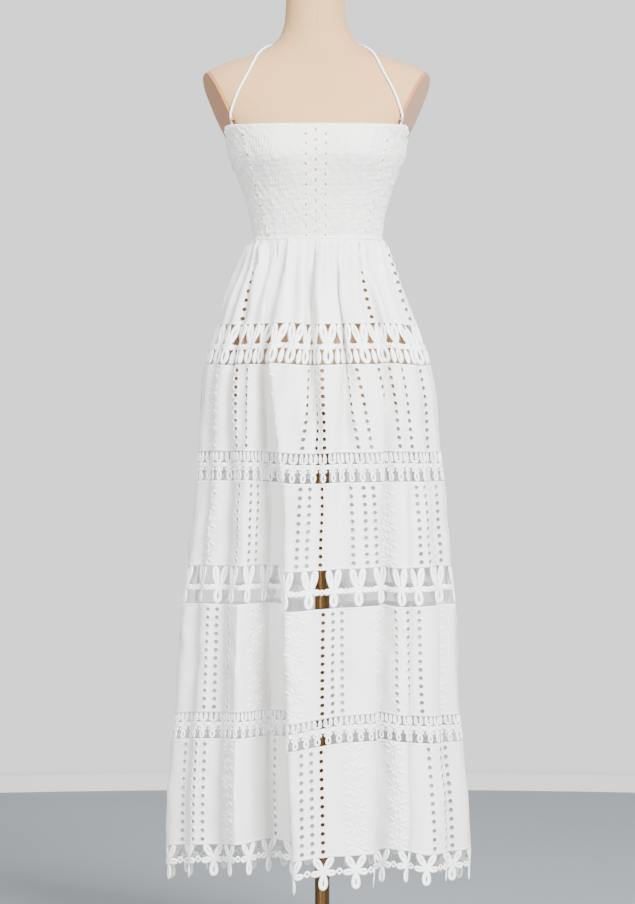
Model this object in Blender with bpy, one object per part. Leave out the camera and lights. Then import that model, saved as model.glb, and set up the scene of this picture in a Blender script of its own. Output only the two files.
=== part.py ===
"""White eyelet maxi dress with a shirred bodice, worn by a limbless dress form on a brass pole.

Frame: +Z up, the wearer faces -Y, and the origin is the middle of the base's underside.
Every cloth piece starts as a flat pattern, a bmesh grid with one column for each stretch
between two gathers. The pattern gets its openings, is draped on rings worked out from the
section and fold tables, and is then given the thickness of its cloth. Units are metres.
"""

import functools
import math

import bmesh
import bpy
import numpy as np
from mathutils import Vector
from mathutils.bvhtree import BVHTree

# Heights of the seams above the floor, top to bottom.
NECKLINE = 1.409
CORNER = 1.403
UNDERARM = 1.386
WAIST = 1.2164
SEAM = {
    "tier1": (WAIST, 1.0735),
    "lace1": (1.0735, 1.0055),
    "tier2": (1.0055, 0.8576),
    "lace2": (0.8576, 0.8083),
    "tier3": (0.8083, 0.6638),
    "lace3": (0.6638, 0.5992),
    "tier4": (0.5992, 0.4122),
    "lace4": (0.4122, 0.3680),
    "tier5": (0.3680, 0.1878),
    "hem_lace": (0.1878, 0.1300),
}
HEM = SEAM["hem_lace"][1]

# Cloth and the gaps between its pieces.
SEAM_GAP = 0.0003
COTTON_THICKNESS = 0.0014
LACE_THICKNESS = 0.0018
COLUMNS = 34  # pattern columns in a half: one for each rise or fall of a gather
HEM_FLOWERS = 18  # in a half

# The bodice: shirring ridges over a plain inside.
FORM_COLUMNS = 32
RIDGES = 56
BODICE_EASE = 0.0009
VALLEY_THICKNESS = 0.0012
RIDGE_THICKNESS = 0.0031

# Dress form and stand.
POLE_X = 0.0
FORM_X = -0.008  # the form sits a little to one side of its pole
POLE_RADIUS = 0.0125
BASE_RADIUS = 0.17
BASE_HEIGHT = 0.032
FLANGE_RADIUS = 0.036
FLANGE_HEIGHT = 0.012
NECK_TOP = 1.6226
CAP_HEIGHT = 0.020
STRAP_RADIUS = 0.0024
STRAP_CLEARANCE = 0.0009

# The arm's cut: a plane that leans out at the top, through this point of the side.
ARM_CUT_X = 0.1555
ARM_CUT_Z = 1.3885
ARM_CUT_LEAN = 0.39
ARM_PLATE_THICKNESS = 0.004

# Dress form: height, half width, front depth, back depth, squareness of the section.
FORM_SECTIONS = (
    (0.9350, 0.138, 0.088, 0.100, 2.1),
    (0.9650, 0.148, 0.095, 0.109, 2.1),
    (1.0450, 0.151, 0.098, 0.118, 2.1),
    (1.1050, 0.141, 0.095, 0.112, 2.1),
    (1.1600, 0.122, 0.088, 0.096, 2.1),
    (WAIST, 0.1075, 0.083, 0.080, 2.1),
    (1.2480, 0.1105, 0.087, 0.080, 2.1),
    (1.2880, 0.1205, 0.096, 0.085, 2.15),
    (1.3280, 0.1350, 0.110, 0.090, 2.2),
    (1.3620, 0.1490, 0.119, 0.095, 2.25),
    (UNDERARM, 0.1515, 0.118, 0.097, 2.3),
    (NECKLINE, 0.1660, 0.111, 0.097, 2.4),
    (1.4300, 0.1790, 0.102, 0.096, 2.5),
    (1.4560, 0.1930, 0.090, 0.093, 2.5),
    (1.4770, 0.2020, 0.078, 0.088, 2.5),
    (1.4930, 0.1950, 0.069, 0.082, 2.5),
    (1.5040, 0.1830, 0.064, 0.078, 2.5),
    (1.5200, 0.1470, 0.060, 0.074, 2.4),
    (1.5330, 0.1060, 0.057, 0.070, 2.2),
    (1.5450, 0.0790, 0.055, 0.066, 2.0),
    (1.5600, 0.0630, 0.053, 0.061, 2.0),
    (1.5740, 0.0560, 0.052, 0.057, 2.0),
    (1.5920, 0.0520, 0.052, 0.054, 2.0),
    (NECK_TOP, 0.0500, 0.051, 0.051, 2.0),
)
NECK_LEAN = -0.0085  # how far a metre of height carries the form's middle sideways
BUST_X = 0.072
BUST_Z = 1.362
BUST_RISE = 0.014
BUST_SPREAD_X = 0.042
BUST_SPREAD_Z = 0.036

# Skirt: height, shift to the side, half width, front depth, back depth.
SKIRT_SECTIONS = (
    (WAIST, 0.0000, 0.1118, 0.0873, 0.0843),
    (1.1840, -0.0010, 0.1220, 0.097, 0.098),
    (1.1330, -0.0025, 0.1430, 0.114, 0.122),
    (1.0735, 0.0005, 0.1660, 0.135, 0.146),
    (1.0055, 0.0005, 0.1900, 0.152, 0.166),
    (0.9450, 0.0020, 0.1995, 0.160, 0.175),
    (0.8576, 0.0030, 0.2060, 0.168, 0.182),
    (0.8083, 0.0045, 0.2105, 0.173, 0.188),
    (0.6638, 0.0025, 0.2245, 0.187, 0.202),
    (0.5992, 0.0015, 0.2330, 0.193, 0.208),
    (0.4122, -0.0010, 0.2425, 0.206, 0.222),
    (0.3680, -0.0010, 0.2475, 0.210, 0.226),
    (0.1878, 0.0010, 0.2590, 0.220, 0.238),
    (HEM, 0.0000, 0.2585, 0.223, 0.241),
)

# Hanging folds. Each row: angle from the front's middle in degrees, half width in degrees
# and depth in metres, each of the three at hem, knee, hip and waist, and how flat its bed is.
FOLD_HEIGHTS = (HEM, 0.75, 1.07, WAIST)
FOLDS = (
    ((-22, -28, -32, -31), (11.5, 10, 5, 4), (0.116, 0.070, 0.013, 0.001), 4),
    ((-50, -52, -52, -52), (20, 20, 18, 15), (0.050, 0.028, 0.004, 0.000), 2),
    ((27, 35, 38, 38), (4.2, 4, 3.5, 3.5), (0.062, 0.040, 0.008, 0.001), 2),
    ((41, 48, 50, 50), (4.5, 4.5, 4, 3), (0.026, 0.010, 0.008, 0.001), 2),
    ((7, 10, 16, 16), (4, 4, 3.5, 3), (0.005, 0.012, 0.013, 0.001), 2),
    ((-1, -2, -4, -4), (4, 4, 3.5, 3), (0.000, 0.008, 0.013, 0.001), 2),
    ((-54, -56, -52, -50), (5, 5, 4, 4), (0.012, 0.010, 0.006, 0.001), 2),
    ((-74, -74, -72, -70), (5, 5, 4, 4), (0.018, 0.012, 0.006, 0.001), 2),
    ((66, 70, 68, 68), (6, 6, 5, 4), (0.030, 0.016, 0.007, 0.001), 2),
    ((101, 99, 97, 97), (6, 5, 4, 4), (0.034, 0.020, 0.006, 0.001), 2),
    ((123, 120, 118, 118), (7, 6, 5, 4), (0.048, 0.030, 0.008, 0.001), 3),
    ((146, 142, 140, 140), (5, 4.5, 4, 3), (0.030, 0.016, 0.007, 0.001), 2),
    ((168, 165, 163, 163), (9, 7.5, 5, 4), (0.070, 0.042, 0.010, 0.001), 3),
    ((192, 190, 186, 186), (5, 4.5, 4, 3), (0.028, 0.018, 0.007, 0.001), 2),
    ((213, 212, 208, 208), (7.5, 6.5, 5, 4), (0.058, 0.034, 0.009, 0.001), 3),
    ((236, 234, 232, 232), (5, 5, 4, 4), (0.030, 0.016, 0.006, 0.001), 2),
    ((256, 257, 254, 254), (6, 5.5, 4.5, 4), (0.040, 0.022, 0.007, 0.001), 2),
)
# How far the gathers stand to either side of the cloth: height, reach. The shares make
# neighbouring gathers unlike.
GATHER_HEIGHTS = (0.6638, 0.8576, 1.0055, 1.0735, 1.1330, 1.1840, WAIST)
GATHER_REACH = (0.0000, 0.0006, 0.0018, 0.0032, 0.0046, 0.0036, 0.0012)
GATHER_SHARES = (1.0, 0.6, 0.9, 0.5, 1.15, 0.7, 1.0, 0.85, 0.45)

# Lace openings, as shares of a pattern column's width and of the band's height. Each row:
# which columns (every, first), which row of cells, left, right, low, high, and how far each
# side of one end pulls in. Positive narrows the top, negative the foot.
LACE_ROWS = {"lace1": 2, "lace2": 1, "lace3": 2, "lace4": 1, "hem_lace": 1}
OPENINGS = {
    "lace1": (
        ((2, 1), 1, 0.10, 0.90, 0.56, 0.93, 0.14),
        ((2, 1), 0, 0.06, 0.94, 0.07, 0.42, 0.08),
    ),
    "lace2": (((3, 1), 0, 0.16, 0.84, 0.34, 0.66, 0.20),),
    "lace3": (
        ((2, 1), 1, 0.10, 0.90, 0.57, 0.93, 0.16),
        ((2, 1), 0, 0.05, 0.95, 0.07, 0.42, 0.08),
    ),
    "lace4": (((3, 1), 0, 0.16, 0.84, 0.34, 0.66, 0.20),),
    "hem_lace": (
        ((4, 0), 0, 0.16, 0.84, 0.56, 0.94, 0.10),
        ((4, 2), 0, 0.06, 0.94, 0.70, 0.95, -0.30),
    ),
}
# The hem lace: where its columns stand within one flower, and how far each rises from the
# foot. The wide first column lies between two flowers and the third is the dropped petal.
FLOWER_PLACES = (-0.34, 0.34, 0.41, 0.59)
FLOWER_RISES = (0.024, 0.024, 0.003, 0.003)


def new_object(name, bm, material, smooth_angle=40):
    """Turns a bmesh into the scene object of that name and frees it."""
    bmesh.ops.recalc_face_normals(bm, faces=bm.faces)
    mesh = bpy.data.meshes.new(name)
    bm.to_mesh(mesh)
    bm.free()
    mesh.shade_smooth()
    mesh.set_sharp_from_angle(angle=math.radians(smooth_angle))
    mesh.materials.append(material)
    obj = bpy.data.objects.new(name, mesh)
    bpy.context.scene.collection.objects.link(obj)
    return obj


def new_material(name, colour, roughness, metallic=0.0):
    material = bpy.data.materials.new(name)
    material.use_nodes = True
    shader = material.node_tree.nodes["Principled BSDF"]
    shader.inputs["Base Color"].default_value = (*colour, 1.0)
    shader.inputs["Roughness"].default_value = roughness
    shader.inputs["Metallic"].default_value = metallic
    return material


def section_at(height, sections):
    """A section table's columns at one height, with the height itself left out."""
    rows = sorted(sections)
    heights = [row[0] for row in rows]
    columns = zip(*[row[1:] for row in rows])
    return [float(np.interp(height, heights, column)) for column in columns]


def superellipse(angle, half_width, front, back, squareness=2.0):
    """x and y at an angle counted from the front's middle towards +X."""
    sine, cosine = np.sin(angle), np.cos(angle)
    depth = np.where(cosine > 0, front, back)
    power = 2.0 / squareness
    x = half_width * np.sign(sine) * np.abs(sine) ** power
    y = -depth * np.sign(cosine) * np.abs(cosine) ** power
    return x, y


def along_height(values, height):
    return float(np.interp(height, FOLD_HEIGHTS, values))


def fold_depth(angle, height):
    """How far the folds carry the cloth inwards at each angle."""
    degrees = np.degrees(angle)
    depth = np.zeros_like(angle)
    for centres, half_widths, depths, bed in FOLDS:
        centre = along_height(centres, height)
        half_width = along_height(half_widths, height)
        away = (degrees - centre + 180.0) % 360.0 - 180.0
        depth += along_height(depths, height) * np.exp(-np.abs(away / half_width) ** bed)
    return depth


@functools.cache
def skirt_ring(height):
    """One ring of the skirt from the -X side round the front and back: x, y, arc length."""
    angle = np.radians(np.linspace(-90.0, 270.0, 1441))
    shift, half_width, front, back = section_at(height, SKIRT_SECTIONS)
    x, y = superellipse(angle, half_width, front, back)
    normal = np.stack([y_step(x, y), -x_step(x, y)])
    normal /= np.linalg.norm(normal, axis=0)
    inward = fold_depth(angle, height)
    x = x - normal[0] * inward
    y = y - normal[1] * inward
    arc = np.concatenate([[0.0], np.cumsum(np.hypot(np.diff(x), np.diff(y)))])
    return x + FORM_X + shift, y, arc


def x_step(x, y):
    """Change of x along a closed ring whose first and last points meet."""
    return np.gradient(np.concatenate([[x[-2]], x, [x[1]]]))[1:-1]


def y_step(x, y):
    return np.gradient(np.concatenate([[y[-2]], y, [y[1]]]))[1:-1]


def drape(half, column, height):
    """A point of the skirt and its level outward normal.

    half is 0 for the front and 1 for the back, and column counts from 0 to COLUMNS along it.
    """
    x, y, arc = skirt_ring(height)
    middle = len(arc) // 2
    start, end = (arc[0], arc[middle]) if half == 0 else (arc[middle], arc[-1])
    start, end = start + SEAM_GAP / 2, end - SEAM_GAP / 2
    place = start + (end - start) * column / COLUMNS
    reach = 0.004
    ahead = Vector((np.interp(place + reach, arc, x), np.interp(place + reach, arc, y), 0.0))
    behind = Vector((np.interp(place - reach, arc, x), np.interp(place - reach, arc, y), 0.0))
    along = (ahead - behind).normalized()
    normal = Vector((along.y, -along.x, 0.0))
    point = Vector((np.interp(place, arc, x), np.interp(place, arc, y), height))
    gather = float(np.interp(height, GATHER_HEIGHTS, GATHER_REACH))
    gather *= GATHER_SHARES[int(column) % len(GATHER_SHARES)]
    return point + normal * gather * math.cos(math.pi * column), normal


def flat_pattern(columns, rows):
    """A grid whose x counts columns from 0 and whose y runs from 0 at the foot to 1."""
    bm = bmesh.new()
    bmesh.ops.create_grid(bm, x_segments=columns, y_segments=rows, size=0.5)
    for vertex in bm.verts:
        vertex.co = Vector(((vertex.co.x + 0.5) * columns, vertex.co.y + 0.5, 0.0))
    return bm


def cut_openings(bm, rows, table):
    """Cuts one four-sided opening through each pattern cell that a row of the table names."""
    for (every, first), level, left, right, low, high, pull in table:
        for face in [f for f in bm.faces if len(f.verts) == 4]:
            column = int(min(vertex.co.x for vertex in face.verts) + 0.001)
            row = int(min(vertex.co.y for vertex in face.verts) * rows + 0.001)
            width = max(v.co.x for v in face.verts) - min(v.co.x for v in face.verts)
            if column % every != first or row != level or width < 0.99:
                continue
            height = max(v.co.y for v in face.verts) - min(v.co.y for v in face.verts)
            if height < 0.99 / rows:
                continue
            bmesh.ops.inset_individual(bm, faces=[face], thickness=0.05)
            middle_x = column + 0.5
            middle_y = (row + 0.5) / rows
            for vertex in face.verts:
                upper = vertex.co.y > middle_y
                narrow = max(pull, 0.0) if upper else max(-pull, 0.0)
                side = left + narrow if vertex.co.x < middle_x else right - narrow
                vertex.co = Vector((column + side, high if upper else low, 0.0))
            bmesh.ops.delete(bm, geom=[face], context="FACES_ONLY")


def thicken(bm, normals, thickness):
    """Gives a draped sheet its wall, half to each side, by extruding it along its normals."""
    for vertex, normal in normals.items():
        vertex.co -= normal * thickness / 2
    moves = {tuple(vertex.co): normal * thickness for vertex, normal in normals.items()}
    made = bmesh.ops.extrude_face_region(bm, geom=list(bm.faces), use_keep_orig=True)["geom"]
    for vertex in (item for item in made if isinstance(item, bmesh.types.BMVert)):
        vertex.co += moves[tuple(vertex.co)]


def cloth_wall(name, band, half, columns, rows, thickness, material):
    """One half of a skirt band, from its flat pattern to its solid."""
    top, foot = SEAM[band]
    bm = flat_pattern(columns, rows)
    if band in OPENINGS:
        cut_openings(bm, rows, OPENINGS[band])
    low = foot + SEAM_GAP / 2
    high = top - SEAM_GAP / 2
    normals = {}
    for vertex in bm.verts:
        column, share = vertex.co.x, vertex.co.y
        rise = 0.0
        if band == "hem_lace":
            column, rise = hem_place(column)
        height = low + rise + (high - low - rise) * share
        vertex.co, normals[vertex] = drape(half, column, round(height, 6))
    thicken(bm, normals, thickness)
    return new_object(name, bm, material)


def hem_place(column):
    """Turns a hem lace column into a skirt column, and tells how far its foot rises."""
    span = len(FLOWER_PLACES)
    numbers = range(span * HEM_FLOWERS + 2)
    places = [n // span + FLOWER_PLACES[n % span] for n in numbers]
    rises = [FLOWER_RISES[n % span] for n in numbers]
    place = min(max(float(np.interp(column, numbers, places)), 0.0), HEM_FLOWERS)
    return place * COLUMNS / HEM_FLOWERS, float(np.interp(column, numbers, rises))


def form_point(angle, height, outwards=0.0):
    """A point of the dress form's surface, moved out level by a distance."""
    half_width, front, back, squareness = section_at(height, FORM_SECTIONS)
    step = 0.01
    places = np.array([angle - step, angle, angle + step])
    x, y = superellipse(places, half_width, front, back, squareness)
    for side in (-1, 1):
        nearness = ((x - side * BUST_X) / BUST_SPREAD_X) ** 2 + ((height - BUST_Z) / BUST_SPREAD_Z) ** 2
        y = y - np.where(np.cos(places) > 0, BUST_RISE * np.exp(-nearness), 0.0)
    along = Vector((x[2] - x[0], y[2] - y[0], 0.0)).normalized()
    normal = Vector((along.y, -along.x, 0.0))
    lean = NECK_LEAN * (height - WAIST)
    return Vector((x[1] + FORM_X + lean, y[1], height)) + normal * outwards


def closed_rings(bm, rings):
    """Bridges rings of points, lowest first, and closes the first and the last."""
    loops = []
    for ring in rings:
        vertices = [bm.verts.new(point) for point in ring]
        edges = [bm.edges.new((a, b)) for a, b in zip(vertices, vertices[1:] + vertices[:1])]
        loops.append(edges)
    for lower, upper in zip(loops, loops[1:]):
        bmesh.ops.bridge_loops(bm, edges=lower + upper)
    for edges in (loops[0], loops[-1]):
        bmesh.ops.edgeloop_fill(bm, edges=edges)


def dress_form(material):
    """The torso, cut flat at the arms, and the plate that covers each cut."""
    bm = bmesh.new()
    angles = [math.tau * k / FORM_COLUMNS for k in range(FORM_COLUMNS)]
    closed_rings(bm, [[form_point(a, row[0]) for a in angles] for row in FORM_SECTIONS])
    bmesh.ops.recalc_face_normals(bm, faces=bm.faces)
    plates = []
    for name, side in (("form_arm_plate_left", -1), ("form_arm_plate_right", 1)):
        normal = Vector((side, 0.0, -ARM_CUT_LEAN)).normalized()
        lean = NECK_LEAN * (ARM_CUT_Z - WAIST)
        place = Vector((FORM_X + lean + side * ARM_CUT_X, 0.0, ARM_CUT_Z))
        shoulder = [f for f in bm.faces if min(v.co.z for v in f.verts) > UNDERARM - 1e-6]
        edges = {edge for face in shoulder for edge in face.edges}
        corners = {vertex for face in shoulder for vertex in face.verts}
        cut = bmesh.ops.bisect_plane(
            bm,
            geom=[*shoulder, *edges, *corners],
            dist=1e-6,
            plane_co=place,
            plane_no=normal,
            clear_outer=True,
        )
        rim = [item for item in cut["geom_cut"] if isinstance(item, bmesh.types.BMEdge)]
        cap = bmesh.ops.edgeloop_fill(bm, edges=rim)["faces"][0]
        plates.append(arm_plate(name, [v.co.copy() for v in cap.verts], normal, material))
    bmesh.ops.triangulate(bm, faces=[f for f in bm.faces if len(f.verts) > 4])
    return new_object("form_torso", bm, material, 50), plates


def arm_plate(name, outline, normal, material):
    """A flat plate on the arm's cut, with its rim eased and its face a little proud."""
    bm = bmesh.new()
    centre = sum(outline, Vector()) / len(outline)
    inset = 0.992
    points = [centre + (point - centre) * inset + normal * SEAM_GAP for point in outline]
    face = bm.faces.new([bm.verts.new(point) for point in points])
    made = bmesh.ops.extrude_face_region(bm, geom=[face], use_keep_orig=True)["geom"]
    raised = [item for item in made if isinstance(item, bmesh.types.BMVert)]
    bmesh.ops.translate(bm, verts=raised, vec=normal * ARM_PLATE_THICKNESS)
    top = next(item for item in made if isinstance(item, bmesh.types.BMFace))
    bmesh.ops.inset_individual(bm, faces=[top], thickness=0.006, depth=0.0)
    bmesh.ops.translate(bm, verts=top.verts[:], vec=normal * 0.002)
    return new_object(name, bm, material)


def neck_cap(material):
    """A plain cap on the neck, rounded over at its edge."""
    bm = bmesh.new()
    half_width, front, back, squareness = section_at(NECK_TOP, FORM_SECTIONS)
    low = NECK_TOP + SEAM_GAP
    middle = FORM_X + NECK_LEAN * (NECK_TOP - WAIST)
    rings = []
    for rise, share in ((0.0, 1.0), (0.55, 0.98), (0.85, 0.84), (1.0, 0.60)):
        angles = np.array([math.tau * k / FORM_COLUMNS for k in range(FORM_COLUMNS)])
        x, y = superellipse(angles, half_width * share, front * share, back * share, squareness)
        rings.append([Vector((a + middle, b, low + rise * CAP_HEIGHT)) for a, b in zip(x, y)])
    closed_rings(bm, rings)
    return new_object("form_neck_cap", bm, material, 60)


def top_height(angle):
    """The bodice's top edge: level across the front, dipping to the underarm and back."""
    degrees = abs((math.degrees(angle) + 180.0) % 360.0 - 180.0)
    return float(np.interp(degrees, (52.0, 58.0, 80.0), (NECKLINE, CORNER, UNDERARM)))


def bodice_half(name, half, material):
    """Shirred cloth: a ridged outer grid and a plain inner one, bridged round their edges."""
    start = -math.pi / 2 + half * math.pi
    heights = [row[0] for row in FORM_SECTIONS if WAIST <= row[0] <= NECKLINE]
    rows = len(heights) - 1

    def shaped(columns, outwards):
        bm = flat_pattern(columns, rows)
        for vertex in bm.verts:
            column, row = round(vertex.co.x), round(vertex.co.y * rows)
            trim = (0.5 - column / columns) * 2 * SEAM_GAP / 2 / section_at(WAIST, FORM_SECTIONS)[0]
            angle = start + math.pi * column / columns + trim
            height = heights[row]
            if row == 0:
                height += SEAM_GAP / 2
            height = min(height, top_height(angle) - (rows - row) * 0.0008)
            vertex.co = form_point(angle, height, outwards(column))
        return bm

    def ridge(column):
        return BODICE_EASE + (RIDGE_THICKNESS if column % 2 else VALLEY_THICKNESS)

    bm = shaped(RIDGES, ridge)
    inner = shaped(FORM_COLUMNS // 2, lambda column: BODICE_EASE)
    bmesh.ops.reverse_faces(inner, faces=inner.faces)
    mesh = bpy.data.meshes.new("inner")
    inner.to_mesh(mesh)
    inner.free()
    bm.from_mesh(mesh)
    bpy.data.meshes.remove(mesh)
    rim = [edge for edge in bm.edges if edge.is_boundary]
    bmesh.ops.bridge_loops(bm, edges=rim)
    bmesh.ops.triangulate(bm, faces=[f for f in bm.faces if len(f.verts) > 4])
    return new_object(name, bm, material)


# The halter's route on the right: x, y and z of points near the form, from the bodice's
# corner over the shoulder to the nape. The left strap mirrors it.
STRAP_ROUTE = (
    (0.1475, -0.062, NECKLINE),
    (0.1410, -0.075, 1.4350),
    (0.1270, -0.070, 1.4720),
    (0.1120, -0.058, 1.5010),
    (0.0960, -0.036, 1.5260),
    (0.0850, -0.010, 1.5430),
    (0.0740, 0.022, 1.5510),
    (0.0520, 0.052, 1.5500),
    (0.0260, 0.064, 1.5480),
    (0.0005, 0.068, 1.5480),
)
STRAP_POINTS = 24


def strap(name, side, form, material):
    """A spaghetti strap laid on the form, as a thin tube from the bodice to the nape."""
    bm = bmesh.new()
    bm.from_mesh(form.data)
    surface = BVHTree.FromBMesh(bm)
    middle = FORM_X + NECK_LEAN * (1.47 - WAIST)
    route = [Vector((side * x + middle, y, z)) for x, y, z in STRAP_ROUTE]
    places = smooth_route(route, STRAP_POINTS)
    curve = bpy.data.curves.new(name, "CURVE")
    curve.dimensions = "3D"
    curve.fill_mode = "FULL"
    curve.bevel_depth = STRAP_RADIUS
    curve.bevel_resolution = 1
    curve.use_fill_caps = True
    spline = curve.splines.new("POLY")
    spline.points.add(STRAP_POINTS - 1)
    lift = STRAP_RADIUS + STRAP_CLEARANCE
    laid = []
    for place in places:
        found, normal, _, _ = surface.find_nearest(place)
        laid.append(found + normal * lift)
    laid[0].z = NECKLINE + SEAM_GAP + STRAP_RADIUS / 2
    laid[-1].x = middle + side * SEAM_GAP / 2
    laid[-2].yz = laid[-1].yz
    for point, place in zip(spline.points, laid):
        point.co = (*place, 1.0)
    bm.free()
    curve.materials.append(material)
    obj = bpy.data.objects.new(name, curve)
    bpy.context.scene.collection.objects.link(obj)
    return obj


def smooth_route(points, count):
    """Even places along a Catmull-Rom curve through the points."""
    ends = [points[0] * 2 - points[1], *points, points[-1] * 2 - points[-2]]
    fine = []
    for a, b, c, d in zip(ends, ends[1:], ends[2:], ends[3:]):
        for k in range(12):
            t = k / 12
            fine.append(
                0.5 * (2 * b + (c - a) * t + (2 * a - 5 * b + 4 * c - d) * t**2 + (3 * b - a - 3 * c + d) * t**3)
            )
    fine.append(points[-1])
    arc = np.concatenate([[0.0], np.cumsum([(q - p).length for p, q in zip(fine, fine[1:])])])
    table = np.array([tuple(p) for p in fine])
    wanted = np.linspace(0.0, arc[-1], count)
    return [Vector([np.interp(w, arc, table[:, axis]) for axis in range(3)]) for w in wanted]


def turned(name, profile, centre_x, sides, material):
    """A solid of revolution from rings of (radius, height), lowest first."""
    bm = bmesh.new()
    turns = [math.tau * k / sides for k in range(sides)]
    rings = [
        [Vector((centre_x + r * math.cos(t), r * math.sin(t), z)) for t in turns] for r, z in profile
    ]
    closed_rings(bm, rings)
    return new_object(name, bm, material, 35)


def stand(brass):
    """A weighted round base, a plain pole and the flange under the form."""
    underside = FORM_SECTIONS[0][0]
    hub = POLE_RADIUS * 2.0
    turned(
        "stand_base",
        (
            (BASE_RADIUS - 0.002, 0.0),
            (BASE_RADIUS, 0.003),
            (BASE_RADIUS, 0.009),
            (BASE_RADIUS - 0.006, 0.013),
            (hub + 0.004, 0.017),
            (hub, 0.020),
            (hub, BASE_HEIGHT),
        ),
        POLE_X,
        32,
        brass,
    )
    flange_foot = underside - SEAM_GAP - FLANGE_HEIGHT
    turned(
        "stand_pole",
        ((POLE_RADIUS, BASE_HEIGHT + SEAM_GAP), (POLE_RADIUS, flange_foot - SEAM_GAP)),
        POLE_X,
        20,
        brass,
    )
    turned(
        "stand_flange",
        (
            (POLE_RADIUS + 0.006, flange_foot),
            (FLANGE_RADIUS, flange_foot + FLANGE_HEIGHT * 0.6),
            (FLANGE_RADIUS, underside - SEAM_GAP),
        ),
        POLE_X,
        20,
        brass,
    )


def build():
    for obj in list(bpy.data.objects):
        bpy.data.objects.remove(obj)
    cotton = new_material("white_cotton", (0.86, 0.86, 0.87), 0.85)
    lace = new_material("white_lace", (0.88, 0.88, 0.88), 0.8)
    jersey = new_material("form_jersey", (0.72, 0.62, 0.50), 0.8)
    brass = new_material("brass", (0.63, 0.42, 0.17), 0.3, 1.0)

    torso, _ = dress_form(jersey)
    neck_cap(jersey)
    stand(brass)
    strap("strap_left", -1, torso, cotton)
    strap("strap_right", 1, torso, cotton)
    for half, side in enumerate(("front", "back")):
        bodice_half(f"bodice_{side}", half, cotton)
        cloth_wall(f"tier1_{side}", "tier1", half, COLUMNS, 3, COTTON_THICKNESS, cotton)
        for number in (2, 3, 4, 5):
            band = f"tier{number}"
            cloth_wall(f"{band}_{side}", band, half, COLUMNS, 1, COTTON_THICKNESS, cotton)
        for number in (1, 2, 3, 4):
            band = f"lace{number}"
            rows = LACE_ROWS[band]
            cloth_wall(f"{band}_{side}", band, half, COLUMNS, rows, LACE_THICKNESS, lace)
        petals = len(FLOWER_PLACES) * HEM_FLOWERS + 1
        cloth_wall(f"hem_lace_{side}", "hem_lace", half, petals, 1, LACE_THICKNESS, lace)


build()
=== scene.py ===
"""White eyelet maxi dress with a halter, worn by a limbless dress form on a brass pole.

The sections follow the making: the studio, the dress form and its stand, the bodice and its
straps, then the skirt from the waist down, tier by tier with the lace between. Metres, +Z up,
and the wearer faces -Y.
"""

import math
import random

import bmesh
import bpy
import numpy as np
from mathutils import Matrix, Vector


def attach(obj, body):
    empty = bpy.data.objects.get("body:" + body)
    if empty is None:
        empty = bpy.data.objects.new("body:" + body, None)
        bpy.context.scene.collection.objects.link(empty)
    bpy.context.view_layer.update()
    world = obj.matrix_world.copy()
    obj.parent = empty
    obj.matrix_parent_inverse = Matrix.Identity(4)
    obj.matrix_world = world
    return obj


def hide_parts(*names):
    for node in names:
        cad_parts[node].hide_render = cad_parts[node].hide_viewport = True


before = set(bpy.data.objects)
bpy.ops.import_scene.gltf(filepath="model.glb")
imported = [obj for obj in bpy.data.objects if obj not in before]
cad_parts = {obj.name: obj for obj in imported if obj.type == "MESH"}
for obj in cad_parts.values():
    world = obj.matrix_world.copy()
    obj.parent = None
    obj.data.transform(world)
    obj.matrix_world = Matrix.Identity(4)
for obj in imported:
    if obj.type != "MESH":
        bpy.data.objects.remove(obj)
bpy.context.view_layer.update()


# The studio: a round pale floor with a low white skirting round it, under an even grey
# backdrop. Soft light comes from everywhere, with a large lamp in front, above and to the
# right. The camera stands 7.5 m away, a little over waist height, as the photograph's did.
VIEW_HEIGHT = 904 * 0.0017  # the photograph's rows, at 1.7 mm each at the form's middle
VIEW_DISTANCE = 7.5
CAMERA_X = -0.008
CAMERA_HEIGHT = 0.93
AIM_HEIGHT = 0.8575
SENSOR_WIDTH = 24.0  # millimetres, as the lens
FLOOR_RADIUS = 3.29
SKIRTING_HEIGHT = 0.040


class Socket:
    """A node's output, so that sums over a surface are written as Python expressions."""

    def __init__(self, nodes, output):
        self.nodes = nodes
        self.output = output

    def maths(self, operation, other=0.0):
        return self.nodes.node("ShaderNodeMath", {"operation": operation}, {0: self, 1: other})

    def __add__(self, other):
        return self.maths("ADD", other)

    def __mul__(self, other):
        return self.maths("MULTIPLY", other)

    def sine(self):
        return self.maths("SINE")


class Nodes:
    """A node tree that calls add to."""

    def __init__(self, tree):
        self.tree = tree

    def node(self, kind, settings=None, sockets=None, output=0):
        made = self.tree.nodes.new(kind)
        for name, value in (settings or {}).items():
            if name == "stops":
                ramp = made.color_ramp
                while len(ramp.elements) < len(value):
                    ramp.elements.new(0.5)
                for element, (place, colour) in zip(ramp.elements, value):
                    element.position = place
                    element.color = (*colour, 1.0)
            else:
                setattr(made, name, value)
        for name, value in (sockets or {}).items():
            if isinstance(value, Socket):
                self.tree.links.new(value.output, made.inputs[name])
            else:
                made.inputs[name].default_value = value
        return Socket(self, made.outputs[output])

    def axes(self, place):
        return [self.node("ShaderNodeSeparateXYZ", {}, {0: place}, k) for k in range(3)]

    def tint(self, share, low, high):
        """A colour between low and high."""
        stops = ((0.0, low), (1.0, high))
        return self.node("ShaderNodeValToRGB", {"stops": stops}, {"Fac": share})


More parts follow.
